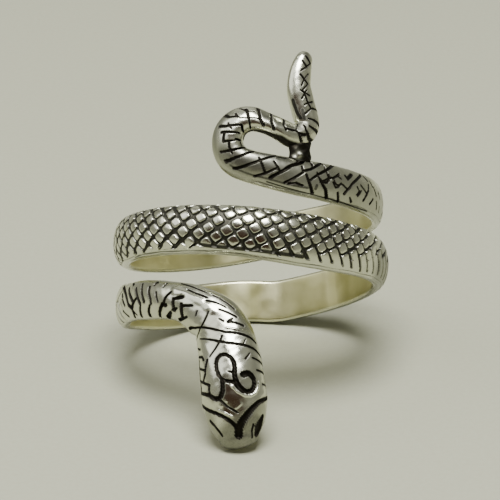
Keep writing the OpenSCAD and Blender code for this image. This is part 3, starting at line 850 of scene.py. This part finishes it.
def add_softbox(name, place, across, power):
    """Round area light at a place, turned to the ring."""
    data = bpy.data.lights.new(name, "AREA")
    data.shape = "DISK"
    data.size = across
    data.energy = power
    light = bpy.data.objects.new(name, data)
    bpy.context.scene.collection.objects.link(light)
    light.location = place
    light.rotation_euler = (Vector(LIT_AT) - Vector(place)).to_track_quat("-Z", "Y").to_euler()


def studio_room():
    """World that the silver reflects: a tone that changes with the height of the direction, and each wall mixed over it
    by the chord between the direction and the wall's own, whole within one chord and gone past another."""
    world = bpy.data.worlds.new("studio")
    world.use_nodes = True
    t = world.node_tree
    t.nodes.clear()
    coords = add_node(t, "ShaderNodeTexCoord")
    split = add_node(t, "ShaderNodeSeparateXYZ", {}, {}, [("Vector", coords, "Generated")])
    rise = add_node(t, "ShaderNodeMapRange", {}, {"From Min": 0.05, "From Max": 0.8}, [("Value", split, "Z")])
    room = add_node(t, "ShaderNodeMix", {"data_type": "RGBA"}, {"A": linear(ROOM_LOW), "B": linear(ROOM_HIGH)},
                    [("Factor", rise, "Result")])
    for way, whole, gone, tone in WALLS:
        chord = add_node(t, "ShaderNodeVectorMath", {"operation": "DISTANCE"}, {1: way}, [(0, coords, "Generated")])
        share = add_node(t, "ShaderNodeMapRange", {"interpolation_type": "SMOOTHSTEP"},
                         {"From Min": whole, "From Max": gone, "To Min": 1.0, "To Max": 0.0},
                         [("Value", chord, "Value")])
        room = add_node(t, "ShaderNodeMix", {"data_type": "RGBA"}, {"B": linear(tone)},
                        [("Factor", share, "Result"), ("A", room, "Result")])
    back = add_node(t, "ShaderNodeBackground", {}, {"Strength": 1.0}, [("Color", room, "Result")])
    add_node(t, "ShaderNodeOutputWorld", {}, {}, [("Surface", back, "Background")])
    return world


class RING_OT_stage(bpy.types.Operator):
    """Paper floor, soft lights and the camera at the photograph's angle"""
    bl_idname = "ring.stage"
    bl_label = "Stage"

    def execute(self, context):
        scene, ring, colours = context.scene, context.scene.ring_sizes, context.scene.ring_colours
        mesh = bpy.data.meshes.new("floor")
        e = FLOOR_HALF
        mesh.from_pydata([(-e, -e, 0), (e, -e, 0), (e, e, 0), (-e, e, 0)], [], [(0, 1, 2, 3)])
        floor = bpy.data.objects.new("floor", mesh)
        mesh.materials.append(studio_paper(colours))
        scene.collection.objects.link(floor)

        for softbox in SOFTBOXES:
            add_softbox(*softbox)

        camera_data = bpy.data.cameras.new("camera")
        camera_data.lens = LENS
        camera_data.sensor_width = SENSOR
        camera_data.clip_start = 0.01
        camera = bpy.data.objects.new("camera", camera_data)
        scene.collection.objects.link(camera)
        aim = Vector(ring.hole_at) * MM - Vector((AIM_LEFT * MM, 0, 0))
        tilt = math.radians(CAMERA_DOWN)
        camera.location = aim + Vector((0, -math.cos(tilt), math.sin(tilt))) * CAMERA_AWAY
        camera.rotation_euler = (math.radians(90) - tilt, 0, 0)
        scene.camera = camera

        scene.world = studio_room()
        return {"FINISHED"}


# ---------------------------------------------------------------- panel and main

class RING_PT_panel(bpy.types.Panel):
    """Sizes and colours of the ring, and a button for each group of its pieces"""
    bl_label = "Snake ring"
    bl_idname = "RING_PT_panel"
    bl_space_type = "VIEW_3D"
    bl_region_type = "UI"
    bl_category = "Ring"

    def draw(self, context):
        layout = self.layout
        for owner in (context.scene.ring_sizes, context.scene.ring_colours):
            for key in owner.bl_rna.properties.keys():
                if key not in ("rna_type", "name"):
                    layout.prop(owner, key)
        for op in OPERATORS:
            layout.operator(op.bl_idname)


OPERATORS = (RING_OT_head, RING_OT_turns, RING_OT_bridge, RING_OT_stage)
CLASSES = (RingSizes, RingColours) + OPERATORS + (RING_PT_panel,)


def register():
    """Register the classes, and give every scene the ring's sizes and colours."""
    for cls in CLASSES:
        bpy.utils.register_class(cls)
    bpy.types.Scene.ring_sizes = bpy.props.PointerProperty(type=RingSizes)
    bpy.types.Scene.ring_colours = bpy.props.PointerProperty(type=RingColours)


def unregister():
    """Undo register."""
    del bpy.types.Scene.ring_colours
    del bpy.types.Scene.ring_sizes
    for cls in reversed(CLASSES):
        bpy.utils.unregister_class(cls)


def main():
    """Build every piece and the stage."""
    register()
    for op in (bpy.ops.ring.snake_head, bpy.ops.ring.snake_turns, bpy.ops.ring.tail_bridge, bpy.ops.ring.stage):
        op()


if __name__ == "__main__":
    main()
